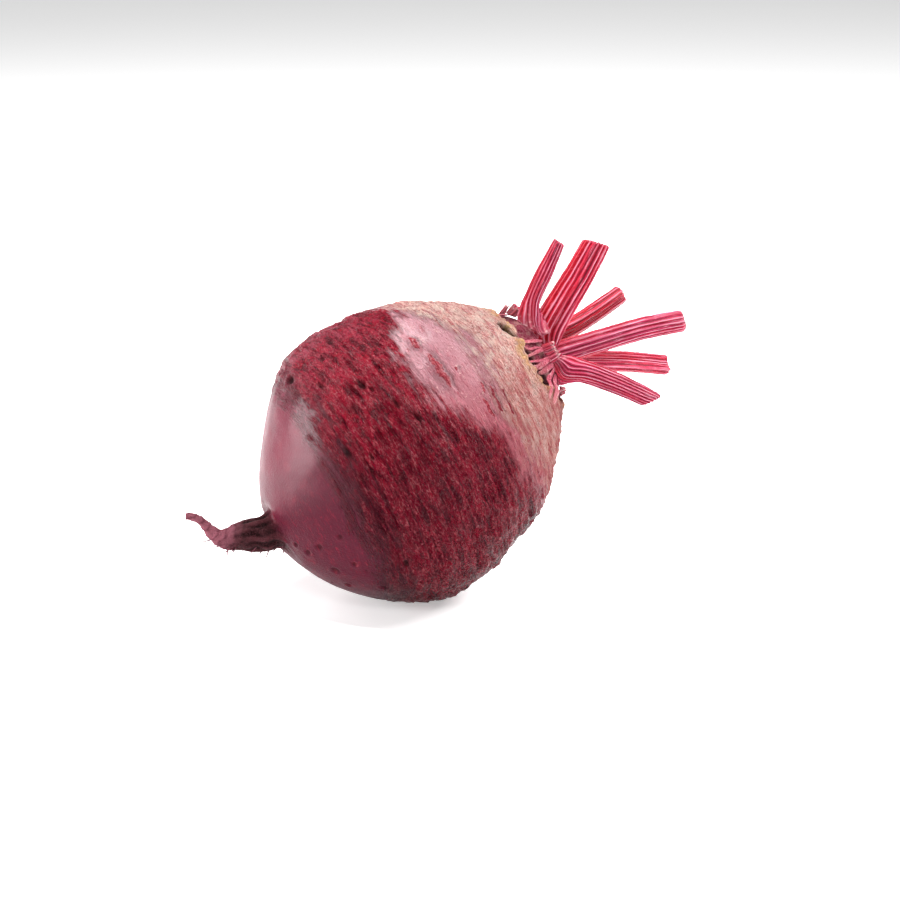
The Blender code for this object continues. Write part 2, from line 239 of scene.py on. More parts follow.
class BeetColours(bpy.types.PropertyGroup):
    mauve: colour("Smooth skin", "Waxy purple skin near the tail", (0.130, 0.008, 0.025))
    # Plum is also painted over the underside and the low near side as painted shade.
    plum: colour("Under skin", "Deep purple skin underneath", (0.062, 0.002, 0.012))
    crimson: colour("Rough skin", "Red skin of the rough band", (0.370, 0.007, 0.030))
    maroon: colour("Dark skin", "Darkest skin of the rough band", (0.110, 0.003, 0.011))
    # The lilac is partly the skin's own waxy colour and partly a painted reflection of the top light.
    lilac: colour("Bloom", "Smooth lilac skin", (0.500, 0.240, 0.275))
    tan: colour("Cork", "Tan corky skin at the crown", (0.900, 0.500, 0.430))
    cream: colour("Cream flecks", "Palest flecks of the cork", (0.940, 0.700, 0.610))
    blush: colour("Blush", "Pink streaks in the cork", (0.640, 0.190, 0.200))
    ochre: colour("Ochre", "Cork right at the crown", (0.820, 0.450, 0.190))
    coral: colour("Scar", "Raised scars", (0.250, 0.012, 0.026))
    bark: colour("Taproot", "Wrinkled base of the taproot", (0.120, 0.030, 0.038))
    rose: colour("Tail", "Thin end of the taproot", (0.430, 0.130, 0.175))
    # The hollow colour also makes the painted shade in the taproot's folds and the painted shadow beside the scars.
    hollow: colour("Hollow", "Inside of a hollow", (0.020, 0.003, 0.004))
    pith: colour("Torn tissue", "Torn leaf bases", (0.430, 0.080, 0.125))
    stalk_red: colour("Stalk red", "Red bands of a leaf stalk", (0.540, 0.004, 0.018))
    stalk_pink: colour("Stalk magenta", "Pink bands of a leaf stalk", (0.450, 0.018, 0.080))
    # The rib colour also makes the painted highlight along the rib crests, and the groove colour the painted shade
    # in the grooves.
    stalk_pale: colour("Rib", "Pale ribs of a leaf stalk", (0.770, 0.370, 0.490))
    stalk_dark: colour("Groove", "Grooves of a leaf stalk", (0.120, 0.001, 0.010))
    floor: colour("Floor", "Pale floor", (0.930, 0.930, 0.930))


# ---------------------------------------------------------------- numbers on a surface


def ease(x, start, end):
    """0 before start, 1 after end, smooth between."""
    t = np.clip((x - start) / (end - start), 0, 1)
    return t * t * (3 - 2 * t)


def bell(x, width):
    """1 at 0, falling away softly to either side."""
    return np.exp(-((x / width) ** 2))


def grain(points, size, seed=0, layers=3, gain=0.5):
    """Soft random values, about -1 to 1, with features of that size."""
    total, weight, reach = 0.0, 1.0, 0.0
    p = points / np.asarray(size, float)
    for k in range(layers):
        total = total + weight * one_grain(p * 2**k + 13.7 * k, seed + 17 * k)
        reach += weight
        weight *= gain
    return total / reach * 1.7


def one_grain(p, seed):
    cell = np.floor(p).astype(np.int64)
    f = p - cell
    w = f * f * f * (f * (f * 6 - 15) + 10)
    total = np.zeros(len(p))
    for corner in range(8):
        step = np.array([corner & 1, corner >> 1 & 1, corner >> 2 & 1])
        c = cell + step
        h = (c[:, 0] * 374761393 + c[:, 1] * 668265263 + c[:, 2] * 1440662683 + seed * 974634777) & 0xFFFFFFFF
        h = ((h ^ (h >> 13)) * 1274126177) & 0xFFFFFFFF
        h = ((h ^ (h >> 15)) * 2246822519) & 0xFFFFFFFF
        slope = np.stack([(h >> s & 1023) / 511.5 - 1 for s in (0, 10, 20)], 1)
        share = np.where(step, w, 1 - w).prod(1)
        total += share * (slope * (f - step)).sum(1)
    return total


def turned(angle):
    """Degrees brought into -180 to 180."""
    return (angle + 180) % 360 - 180


def patch(across, along, length, width, edge=0.35):
    """1 inside a rounded patch, 0 outside."""
    d = np.sqrt((across / (length / 2)) ** 2 + (along / (width / 2)) ** 2)
    return 1 - ease(d, 1 - edge, 1 + edge)


def to_axes(points):
    """Metres in the row frame to mm along the beetroot's axes."""
    return (points - np.array(MIDDLE)) @ np.array(AXES).T * MM


def from_axes(points):
    return points / MM @ np.array(AXES) + np.array(MIDDLE)


# ---------------------------------------------------------------- meshes


def read(mesh):
    points = np.zeros(len(mesh.vertices) * 3)
    normals = np.zeros(len(mesh.vertices) * 3)
    mesh.vertices.foreach_get("co", points)
    mesh.vertex_normals.foreach_get("vector", normals)
    return points.reshape(-1, 3), normals.reshape(-1, 3)


def read_axes(mesh):
    """Points in mm along the axes, and their normals."""
    points, normals = read(mesh)
    return to_axes(points), normals @ np.array(AXES).T


def write(mesh, points):
    mesh.vertices.foreach_set("co", points.ravel())
    mesh.update()


def edges_of(mesh):
    ends = np.zeros(len(mesh.edges) * 2, np.int64)
    mesh.edges.foreach_get("vertices", ends)
    return ends.reshape(-1, 2)


def soften(points, ends, share, rounds):
    """Moves each point towards the middle of its neighbours."""
    a, b = ends[:, 0], ends[:, 1]
    both = np.r_[a, b]
    count = np.bincount(both, minlength=len(points))[:, None]
    share = np.asarray(share, float).reshape(-1, 1) * np.ones((len(points), 1))
    for _ in range(rounds):
        total = [np.bincount(both, np.r_[points[b, k], points[a, k]], len(points)) for k in range(3)]
        points = points + share * (np.stack(total, 1) / count - points)
    return points


def keep(mesh, name, values):
    """Stores a number or a vector for each vertex."""
    values = np.asarray(values, np.float32)
    kind, field = ("FLOAT", "value") if values.ndim == 1 else ("FLOAT_VECTOR", "vector")
    mesh.attributes.new(name, kind, "POINT").data.foreach_set(field, values.ravel())


def new_object(name, data):
    made = bpy.data.objects.new(name, data)
    bpy.context.scene.collection.objects.link(made)
    return made


def only(piece):
    bpy.ops.object.select_all(action="DESELECT")
    piece.select_set(True)
    bpy.context.view_layer.objects.active = piece


def edit(piece, change):
    """Makes a change to all of a piece in edit mode."""
    only(piece)
    bpy.ops.object.mode_set(mode="EDIT")
    bpy.ops.mesh.select_all(action="SELECT")
    change()
    bpy.ops.object.mode_set(mode="OBJECT")


def apply_all(piece):
    only(piece)
    for modifier in list(piece.modifiers):
        bpy.ops.object.modifier_apply(modifier=modifier.name)


def copy_of(node):
    """A copy of a CAD node, its loose triangles merged."""
    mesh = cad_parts[node].data.copy()
    mesh.materials.clear()
    piece = new_object(node + "_skin", mesh)
    edit(piece, lambda: bpy.ops.mesh.remove_doubles(threshold=1e-6))
    return piece


def even_mesh(piece, edge):
    """Gives the piece an even mesh with edges of that length."""
    remesh = piece.modifiers.new("even", "REMESH")
    remesh.mode = "VOXEL"
    remesh.voxel_size = edge
    apply_all(piece)


def refine(piece, wanted):
    """Splits each edge between the wanted vertices once."""
    mesh = piece.data
    ends = edges_of(mesh)
    both = wanted[ends[:, 0]] & wanted[ends[:, 1]]
    only(piece)
    bpy.ops.object.mode_set(mode="EDIT")
    bpy.ops.mesh.select_mode(type="EDGE")
    bpy.ops.mesh.select_all(action="DESELECT")
    bpy.ops.object.mode_set(mode="OBJECT")
    mesh.edges.foreach_set("select", both)
    bpy.ops.object.mode_set(mode="EDIT")
    bpy.ops.mesh.subdivide(number_cuts=1)
    bpy.ops.mesh.select_all(action="SELECT")
    bpy.ops.mesh.quads_convert_to_tris()
    bpy.ops.object.mode_set(mode="OBJECT")


def walk(points, ends, starts):
    """Distance over the surface from the start vertices; FAR where no way leads there."""
    spans = np.linalg.norm(points[ends[:, 0]] - points[ends[:, 1]], axis=1)
    near = [[] for _ in points]
    for (a, b), d in zip(ends.tolist(), spans.tolist()):
        near[a].append((b, d))
        near[b].append((a, d))
    away = [FAR] * len(points)
    queue = []
    for s in starts:
        away[s] = 0.0
        queue.append((0.0, int(s)))
    heapq.heapify(queue)
    while queue:
        d, v = heapq.heappop(queue)
        if d > away[v]:
            continue
        for other, span in near[v]:
            reach = d + span
            if reach < away[other]:
                away[other] = reach
                heapq.heappush(queue, (reach, other))
    return np.array(away)


def spine_of(points, away, step, used=None):
    """Middles of the slices at each distance, and the distances."""
    used = np.ones(len(points), bool) if used is None else used
    slot = np.floor(away / step).astype(int)
    middles, places = [], []
    for k in range(slot[used].max() + 1):
        here = used & (slot == k)
        if here.sum() >= 6:
            middles.append(points[here].mean(0))
            places.append(away[here].mean())
    middles, places = np.array(middles), np.array(places)
    for _ in range(2):
        middles[1:-1] = (middles[:-2] + 2 * middles[1:-1] + middles[2:]) / 4
    return middles, places


def along_spine(points, away, middles, places):
    """Each point's two distances from the spine, along directions carried along it without twist."""
    way = np.gradient(middles, axis=0)
    way /= np.linalg.norm(way, axis=1)[:, None]
    side = np.zeros_like(way)
    first = np.cross(way[0], (0.0, 1.0, 0.3))
    side[0] = first / np.linalg.norm(first)
    for k in range(1, len(way)):
        s = side[k - 1] - way[k] * (side[k - 1] @ way[k])
        side[k] = s / np.linalg.norm(s)
    other = np.cross(way, side)
    middle, side, other = (
        np.stack([np.interp(away, places, v[:, k]) for k in range(3)], 1) for v in (middles, side, other)
    )
    gap = points - middle
    return (gap * side).sum(1), (gap * other).sum(1)


def even_turn(x, y, used):
    """Place round the section from 0 to 1, spread evenly over its outline."""
    angle = np.arctan2(y, x)
    slots = 48
    slot = np.floor((angle + np.pi) / (2 * np.pi) * slots).astype(int) % slots
    reach = np.hypot(x, y)
    outline = np.full(slots, np.nan)
    for k in range(slots):
        here = used & (slot == k)
        if here.any():
            outline[k] = np.median(reach[here])
    outline = np.where(np.isnan(outline), np.nanmean(outline), outline)
    middle = (np.arange(slots) + 0.5) / slots * 2 * np.pi - np.pi
    px, py = outline * np.cos(middle), outline * np.sin(middle)
    step = np.hypot(np.roll(px, -1) - px, np.roll(py, -1) - py)
    total = np.r_[0, np.cumsum(step)] / step.sum()
    turn = np.interp(angle, np.r_[middle, middle[0] + 2 * np.pi], total)
    low = angle < middle[0]
    turn[low] = np.interp(angle[low] + 2 * np.pi, np.r_[middle, middle[0] + 2 * np.pi], total)
    return turn % 1.0


def strand(path, radius, sides=5, flat=1.0, tops=None):
    """Points and faces of a thin tapered strand along a path, flattened towards tops where they are given."""
    path = np.asarray(path, float)
    way = np.gradient(path, axis=0)
    way /= np.linalg.norm(way, axis=1)[:, None] + 1e-12
    side = np.cross(way, (0.31, 0.22, 0.93) if tops is None else tops)
    side /= np.linalg.norm(side, axis=1)[:, None]
    other = np.cross(way, side)
    turn = np.arange(sides) / sides * 2 * np.pi
    rings = [
        p + r * (np.cos(turn)[:, None] * s + flat * np.sin(turn)[:, None] * o)
        for p, r, s, o in zip(path, radius, side, other)
    ]
    points = np.concatenate(rings + [path[:1], path[-1:]])
    n, last = len(path), len(path) * sides
    faces = [
        (k * sides + j, k * sides + (j + 1) % sides, (k + 1) * sides + (j + 1) % sides, (k + 1) * sides + j)
        for k in range(n - 1)
        for j in range(sides)
    ]
    faces += [((j + 1) % sides, j, last) for j in range(sides)]
    faces += [((n - 1) * sides + j, (n - 1) * sides + (j + 1) % sides, last + 1) for j in range(sides)]
    return points, faces


def strand_piece(name, strands):
    """A new piece made of strands, its faces outward."""
    points, faces = [], []
    for p, f in strands:
        start = sum(len(q) for q in points)
        points.append(p)
        faces += [tuple(v + start for v in face) for face in f]
    mesh = bpy.data.meshes.new(name)
    mesh.from_pydata(from_axes(np.concatenate(points)).tolist(), [], faces)
    piece = new_object(name, mesh)
    edit(piece, lambda: bpy.ops.mesh.normals_make_consistent(inside=False))
    return piece


def add_strands(piece, strands, values):
    """Joins strands to a piece and gives their vertices the named values."""
    extra = strand_piece("strands", strands)
    for name, value in values.items():
        keep(extra.data, name, np.full(len(extra.data.vertices), float(value)))
    only(piece)
    extra.select_set(True)
    bpy.ops.object.join()


def hand_over(piece, paint, node=None):
    """Finishes a piece: smooth shading, its material, a place under the root's body, and hides the CAD node that it
    stands for, if any.
    """
    piece.data.materials.clear()
    piece.data.materials.append(paint)
    only(piece)
    bpy.ops.object.shade_smooth()
    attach(piece, "root")
    if node:
        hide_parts(node)


# ---------------------------------------------------------------- shader maths


class Value:
    """A socket that can be used in sums."""

    def __init__(self, paint, socket):
        self.paint, self.socket = paint, socket

    def sum(self, kind, first, second):
        return self.paint.node("ShaderNodeMath", {"operation": kind}, {0: first, 1: second})

    def __add__(self, other):
        return self.sum("ADD", self, other)

    def __radd__(self, other):
        return self.sum("ADD", other, self)

    def __sub__(self, other):
        return self.sum("SUBTRACT", self, other)

    def __rsub__(self, other):
        return self.sum("SUBTRACT", other, self)

    def __mul__(self, other):
        return self.sum("MULTIPLY", self, other)

    def __rmul__(self, other):
        return self.sum("MULTIPLY", other, self)

    def above(self, low, high):
        """0 below low, 1 above high, smooth between."""
        return self.paint.node(
            "ShaderNodeMapRange",
            {"interpolation_type": "SMOOTHSTEP"},
            {"Value": self, "From Min": low, "From Max": high, "To Min": 0.0, "To Max": 1.0},
        )


class Paint:
    """A material and the nodes in it."""

    def __init__(self, name):
        self.material = bpy.data.materials.new(name)
        self.material.use_nodes = True
        self.tree = self.material.node_tree
        self.shader = self.tree.nodes["Principled BSDF"]

    def node(self, kind, settings, inputs, out=0):
        made = self.tree.nodes.new(kind)
        for name, value in settings.items():
            setattr(made, name, value)
        for name, value in inputs.items():
            self.fill(made.inputs[name], value)
        return Value(self, made.outputs[out])

    def fill(self, socket, value):
        if isinstance(value, Value):
            self.tree.links.new(value.socket, socket)
        elif socket.type == "RGBA" and not isinstance(value, (int, float)):
            socket.default_value = (*tuple(value)[:3], 1.0)
        else:
            socket.default_value = value

    def stored(self, name, out="Fac"):
        return self.node("ShaderNodeAttribute", {"attribute_name": name}, {}, out)

    def axes(self):
        """Place in mm along the beetroot's axes."""
        place = self.node("ShaderNodeTexCoord", {}, {}, "Object")
        shift = -(AXES @ MIDDLE) * MM
        turn = AXES.to_euler("XYZ")
        return self.node(
            "ShaderNodeMapping",
            {"vector_type": "POINT"},
            {"Vector": place, "Location": tuple(shift), "Rotation": tuple(turn), "Scale": (MM, MM, MM)},
        )

    def scaled(self, place, by):
        return self.node("ShaderNodeVectorMath", {"operation": "MULTIPLY"}, {0: place, 1: by})

    def noise(self, place, scale, detail=3.0, rough=0.55, wave=0.0):
        """Soft noise from 0 to 1; scale says how many features lie in one unit of the place."""
        return self.node(
            "ShaderNodeTexNoise",
            {"noise_dimensions": "3D"},
            {"Vector": place, "Scale": scale, "Detail": detail, "Roughness": rough, "Distortion": wave},
            "Fac",
        )

    def cells(self, place, scale, feature="DISTANCE_TO_EDGE"):
        return self.node(
            "ShaderNodeTexVoronoi", {"feature": feature}, {"Vector": place, "Scale": scale}, "Distance"
        )

    def mix(self, share, first, second):
        made = self.tree.nodes.new("ShaderNodeMix")
        made.data_type, made.blend_type, made.clamp_factor = "RGBA", "MIX", True
        self.fill(made.inputs[0], share)
        self.fill(made.inputs[6], first)
        self.fill(made.inputs[7], second)
        return Value(self, made.outputs[2])

    def layers(self, base, *over):
        """Lays colours over a base, each with its share."""
        for share, tone in over:
            base = self.mix(share, base, tone)
        return base

    def bump(self, height, distance, strength=1.0):
        return self.node("ShaderNodeBump", {}, {"Height": height, "Distance": distance, "Strength": strength})

    def finish(self, base, rough, normal, **uniform):
        self.fill(self.shader.inputs["Base Color"], base)
        self.fill(self.shader.inputs["Roughness"], rough)
        self.fill(self.shader.inputs["Normal"], normal)
        for name, value in uniform.items():
            self.shader.inputs[name.replace("_", " ")].default_value = value
        return self.material


def skin_paint(c):
    """The beetroot's skin, from waxy purple at the tail to tan cork at the crown."""
    p = Paint("beet_skin")
    place = p.axes()
    ringed = p.scaled(place, (0.17, 0.17, 1.0))  # features run round the axis
    rough, bloom, cork, scar, hollow = (p.stored(name) for name in ("rough", "bloom", "cork", "scar", "hollow"))
    tail, torn, under, flow = (p.stored(name) for name in ("tail", "torn", "under", "flow"))
    rim, sheen = p.stored("rim"), p.stored("sheen")

    broad = p.noise(place, 0.075, 3.0)
    mottle = p.noise(place, 0.32, 4.0)
    fine = p.noise(place, 1.6, 4.0, 0.62)
    streak = p.noise(ringed, 0.70, 4.0, 0.6, 0.6)
    thread = p.noise(ringed, 2.2, 3.0, 0.65, 0.8)
    net = p.cells(p.scaled(place, (0.36, 0.36, 1.0)), 0.95)
    mesh = 1 - net.above(0.02, 0.22)
    long = p.noise(p.scaled(place, (0.12, 0.12, 1.0)), 0.55, 4.0, 0.6, 0.4)
    tatter = (long - 0.5) * 2.2 + (thread - 0.5) * 1.3 + (mottle - 0.5) * 0.9
    rough = (rough + tatter * rough * (1 - rough) * 2.4).above(0.10, 0.92)
    bloom = (bloom + tatter * bloom * (1 - bloom) * 3.6).above(0.16, 0.84)
    cork = (cork + tatter * cork * (1 - cork) * 3.6).above(0.10, 0.90)

    # The smooth skin turns plum in broad random patches, and over the underside as painted shade.
    smooth = p.layers(
        c.mauve,
        (broad.above(0.35, 0.65) * 0.45 + under * 1.1, c.plum),
        (mottle.above(0.52, 0.78) * 0.12, c.crimson),
        (streak.above(0.56, 0.78) * 0.22, c.maroon),
        (under * thread.above(0.56, 0.70) * 0.30, c.crimson),
    )
    glint = p.noise(p.scaled(place, (0.34, 0.34, 1.0)), 1.9, 3.0, 0.62)
    red = p.layers(
        c.maroon,
        (streak.above(0.34, 0.58), c.crimson),
        (mottle.above(0.54, 0.70) * 0.35, c.maroon),
        ((1 - mottle.above(0.30, 0.48)) * 0.80, (0.430, 0.010, 0.030)),
        # Near-black where the thread relief sinks lowest: painted shade in the crevices of the rough band.
        ((1 - thread.above(0.31, 0.44)) * 0.85, (0.040, 0.001, 0.005)),
        # painted shade on the underside
        (under * 0.45, c.plum),
        (glint.above(0.54, 0.63) * streak.above(0.40, 0.54) * 0.42, (0.640, 0.170, 0.190)),
        (mesh * fine.above(0.46, 0.60) * 0.16, (0.560, 0.190, 0.200)),
        (sheen * (0.25 + streak.above(0.40, 0.62) * 0.50), (0.430, 0.105, 0.150)),
    )
    # The lilac is partly the skin's own waxy colour and partly a painted reflection of the top light.
    pale = p.layers(
        c.lilac,
        (streak.above(0.50, 0.70) * 0.40, (0.440, 0.110, 0.140)),
        (mottle.above(0.50, 0.72) * 0.30, (0.360, 0.150, 0.190)),
        (thread.above(0.57, 0.68) * 0.65, (0.300, 0.040, 0.065)),
        (fine.above(0.56, 0.68) * (1 - mottle.above(0.36, 0.54)) * 0.70, c.cream),
        # painted shade on the underside: crimson over the lilac
        (under * 0.60, c.crimson),
    )
    crust = p.layers(
        c.tan,
        (mottle.above(0.40, 0.58), c.cream),
        (streak.above(0.50, 0.62) * 0.85, c.blush),
        (broad.above(0.42, 0.62) * 0.45, (0.640, 0.270, 0.260)),
        (thread.above(0.54, 0.64) * 0.75, (0.360, 0.055, 0.065)),
        (mesh * 0.22, (0.400, 0.130, 0.110)),
        (fine.above(0.54, 0.64) * 0.65, (0.950, 0.780, 0.700)),
        (rim * (0.20 + mottle.above(0.46, 0.60) * 0.70), c.ochre),
        # painted shade: darker red over the low near side of the cork
        (under * (0.60 + streak.above(0.42, 0.62) * 0.40), (0.380, 0.060, 0.065)),
    )
    tissue = p.layers(
        c.pith,
        (fine.above(0.44, 0.62) * 0.85, (0.330, 0.030, 0.060)),
        (mottle.above(0.46, 0.60) * 0.55, (0.680, 0.340, 0.320)),
    )
    # Near-black in the troughs of the folds and bark colour on their crests: painted shade in the taproot's folds.
    bark = p.layers(
        c.hollow,
        (flow.above(0.25, 0.80), c.bark),
        (fine.above(0.45, 0.70) * 0.5, (0.170, 0.050, 0.062)),
    )
    tip = p.layers(
        (0.160, 0.034, 0.054),
        (flow.above(0.20, 0.55), c.rose),
        (fine.above(0.55, 0.72) * 0.4, (0.420, 0.180, 0.220)),
    )
    skin = p.layers(
        smooth,
        (rough, red),
        (bloom, pale),
        (cork, crust),
        (torn, tissue),
        ((tail + (mottle - 0.5) * 0.4).above(0.02, 0.42), p.mix(tail.above(0.78, 0.99), bark, tip)),
        (scar.above(0.28, 0.60), p.mix(fine.above(0.45, 0.66), c.coral, (0.480, 0.090, 0.110))),
        (hollow * 0.95, c.hollow),
    )

    bare = (1 - cork) * (1 - torn) * (1 - tail.above(0.02, 0.2))
    waxy = bare * (1 - rough.above(0.0, 0.45) * (1 - bloom))
    dull = mottle * 0.10 + bloom * 0.04 + cork * 0.16 + torn * 0.12 + tail.above(0.05, 0.4) * 0.22 + hollow * 0.5
    gloss = 0.38 + dull - bare * rough * 0.16
    relief = (
        rough * (1 - bloom * 0.85) * (streak * 1.6 + mesh * 0.30 + thread * 1.7 + fine * 0.45)
        + cork * (streak * 0.9 + thread * 1.2 + fine * 0.5 - mesh * 0.3)
        + bloom * (thread * 0.30 + fine * 0.10)
        + torn * (fine * 0.9 + mottle)
        + tail.above(0.05, 0.4) * fine * 0.9
        + fine * 0.06
    )
    p.fill(p.shader.inputs["Coat Weight"], waxy * (0.30 - bloom * 0.08) * (1 - under * 0.9) * (1 - sheen * 0.6))
    return p.finish(
        skin,
        gloss,
        p.bump(relief, 0.0040, 1.0),
        Subsurface_Weight=0.04,
        Subsurface_Radius=(0.9, 0.25, 0.25),
        Subsurface_Scale=0.0015,
        Coat_Roughness=0.30,
        Specular_IOR_Level=0.09,
    )


def stalk_paint(name, c, ribs, redness, withered=0.0):
    """A ribbed leaf stalk: magenta or red bands with pale and dark lines, a painted highlight along the rib crests
    and painted shade in the grooves.
    """
    p = Paint(name)
    fibre = p.stored("fibre", "Vector")
    cut, foot, torn = p.stored("cut"), p.stored("foot"), p.stored("torn")
    parts = p.tree.nodes.new("ShaderNodeSeparateXYZ")
    p.fill(parts.inputs[0], fibre)
    x, y = (Value(p, parts.outputs[k]) for k in range(2))
    turn = p.node("ShaderNodeMath", {"operation": "ARCTAN2"}, {0: y, 1: x})
    lined = p.scaled(fibre, (1.0, 1.0, 0.045))
    sway = p.noise(lined, 0.9, 2.0)
    wave = p.node("ShaderNodeMath", {"operation": "COSINE"}, {0: turn * float(ribs) + (sway - 0.5) * 4.6})
    rib = wave * 0.5 + 0.5
    broad = p.noise(lined, 0.42, 2.0)
    hair = p.noise(lined, 2.6, 4.0, 0.65)
    fleck = p.noise(fibre, 1.3, 3.0)

    # Painted shade: the grooves between the ribs are darkened.
    groove = (1 - rib.above(0.02, 0.34)) * (0.25 + broad.above(0.35, 0.60) * 0.65)
    # Painted highlight: paler along the rib crests.
    crest_highlight = rib.above(0.70, 0.96) * (sway.above(0.42, 0.60) * 0.80 + 0.10) * (1.0 - 0.45 * redness)
    dots = p.cells(p.scaled(fibre, (1.0, 1.0, 0.3)), 1.3, "F1")
    shade = p.layers(
        c.stalk_red,
        (broad.above(0.38, 0.64) * (1 - redness * 0.7) + (0.3 - redness * 0.3), c.stalk_pink),
        (hair.above(0.50, 0.66) * 0.60, c.stalk_dark),
        (fleck.above(0.52, 0.75) * 0.14, c.stalk_pale),
        (groove, c.stalk_dark),
        (crest_highlight, c.stalk_pale),
        ((1 - hair.above(0.32, 0.42)) * (0.65 - 0.30 * redness), c.stalk_pale),
        (foot * 0.55, c.pith),
        (withered, p.mix(hair.above(0.40, 0.65), (0.110, 0.010, 0.020), (0.330, 0.050, 0.060))),
        (torn * fleck.above(0.35, 0.60) * (0.9 - withered * 0.6), (0.840, 0.560, 0.560)),
        (cut, p.mix(dots.above(0.25, 0.55), (0.660, 0.230, 0.250), (0.430, 0.020, 0.060))),
    )
    gloss = 0.32 + hair * 0.14 + cut * 0.10 + torn * 0.22 + withered * 0.2
    relief = rib * 0.55 + hair * 0.55 + fleck * 0.18 + torn * fleck * 0.8
    return p.finish(
        shade,
        gloss,
        p.bump(relief, 0.0007, 0.9),
        Subsurface_Weight=0.08,
        Subsurface_Radius=(1.0, 0.20, 0.25),
        Subsurface_Scale=0.0012,
        Specular_IOR_Level=0.20,
    )


def fibre_paint(c):
    """Torn leaf bases: pale pink with white edges and red streaks."""
    p = Paint("torn_fibre")
    place = p.axes()
    along = p.stored("along")
    mottle = p.noise(place, 0.55, 3.0)
    fine = p.noise(place, 1.9, 4.0, 0.62)
    base = p.layers(
        c.pith,
        (mottle.above(0.50, 0.66) * 0.45, (0.760, 0.420, 0.430)),
        (fine.above(0.42, 0.58) * 0.85, (0.300, 0.012, 0.040)),
        (along.above(0.40, 1.0) * 0.55, (0.420, 0.150, 0.130)),
    )
    return p.finish(
        base,
        0.42 + fine * 0.2,
        p.bump(fine + mottle * 0.6, 0.0008, 1.0),
        Subsurface_Weight=0.08,
        Subsurface_Radius=(1.0, 0.35, 0.35),
        Subsurface_Scale=0.0012,
        Specular_IOR_Level=0.35,
    )


def floor_paint(c):
    p = Paint("pale_floor")
    place = p.node("ShaderNodeTexCoord", {}, {}, "Object")
    tone = p.noise(place, 3.0, 2.0)
    base = p.mix(tone * 0.04, c.floor, (0.90, 0.90, 0.905))
    p.shader.inputs["Emission Color"].default_value = (1.0, 1.0, 1.0, 1.0)
    return p.finish(base, 0.75, p.bump(tone, 0.0001, 0.1), Specular_IOR_Level=0.1, Emission_Strength=0.42)


# ---------------------------------------------------------------- the root


def marks(points, normals, rows, within):
    """For each row that starts with degrees round and mm along: every point's place across and along the
    skin from there in mm, and whether it lies within that many mm."""
    angle = np.degrees(np.arctan2(points[:, 1], points[:, 0]))
    reach = np.hypot(points[:, 0], points[:, 1])
    for row in rows:
        miss = np.hypot(turned(angle - row[0]) * math.pi / 180 * np.maximum(reach, 3), points[:, 2] - row[1])
        v = int(miss.argmin())
        t = math.atan2(points[v, 1], points[v, 0])
        across = np.array((-math.sin(t), math.cos(t), 0.0))
        gap = points - points[v]
        yield gap @ across, gap @ np.cross(normals[v], across), (gap**2).sum(1) < within**2, row


def crown_polar(points):
    gap = points - CROWN
    return np.hypot(gap[:, 0], gap[:, 1]), np.degrees(np.arctan2(gap[:, 1], gap[:, 0]))


def torn_edge(angle, points):
    """Distance from the crown's middle at which the tan skin ends, in mm."""
    near = bell(turned(angle - 76), 30)
    return 17.0 + 4.6 * near + 0.9 * grain(points, 3.4, 41, 3) + 0.5 * grain(points, 1.2, 43, 2)


def root_masks(points, away):
    """Where each finish of the skin lies, and where shade is painted, from 0 to 1."""
    up, near, out = points.T
    angle = np.degrees(np.arctan2(near, up))
    slow = grain(points, 13.0, 3)
    quick = grain(points, 4.2, 5)
    speck = grain(points * (1, 1, 2.6), 3.0, 7)
    lower = bell(turned(angle - 165), 62)
    near_low = bell(turned(angle - 90), 45)
    start = -19.0 - 4.0 * near_low - 3.0 * lower + 2.0 * slow + 1.6 * quick
    end = np.interp(angle, *zip(*BAND_END)) + 2.2 * slow + 1.4 * speck
    cork_start = np.interp(angle, *zip(*CORK_START)) + 2.5 * slow + 2.0 * quick
    m = {}
    m["rough"] = ease(out, start - 10, start + 11)
    m["cork"] = ease(out, cork_start - 7, cork_start + 7)
    m["bloom"] = ease(out, end - 6, end + 6) * (1 - 0.7 * lower)
    sheen = ease(out, -26, -14) * (1 - ease(out, 2, 16)) * bell(turned(angle + 16), 28)
    m["sheen"] = sheen * ease(quick, -0.8, 0.4)
    # Painted shade: darker over the underside, the low near side and the skin close to the floor.
    dark = np.clip(lower * 0.75 + 0.85 * near_low * (1 - 0.35 * ease(out, 18, 34)), 0, 1)
    dark = dark * ease(quick + 1.6 * (lower + near_low), -0.4, 1.2)
    height = from_axes(points)[:, 2] * MM
    m["under"] = np.clip(dark + 0.75 * (1 - ease(height + 2.0 * quick, 12, 44)), 0, 1)
    m["tail"] = np.where(away < FAR, (1 - ease(away, 6, 44)) * (1 - ease(out + 1.6 * quick, -45.5, -39.0)), 0)
    reach, turn = crown_polar(points)
    edge = torn_edge(turn, points)
    high = ease(out, CROWN_START, CROWN_START + 6)
    m["torn"] = (1 - ease(reach, edge - 0.45, edge + 0.25)) * high
    m["rim"] = bell(reach - edge - 0.9, 1.9) * high * (1 - m["torn"])
    return m


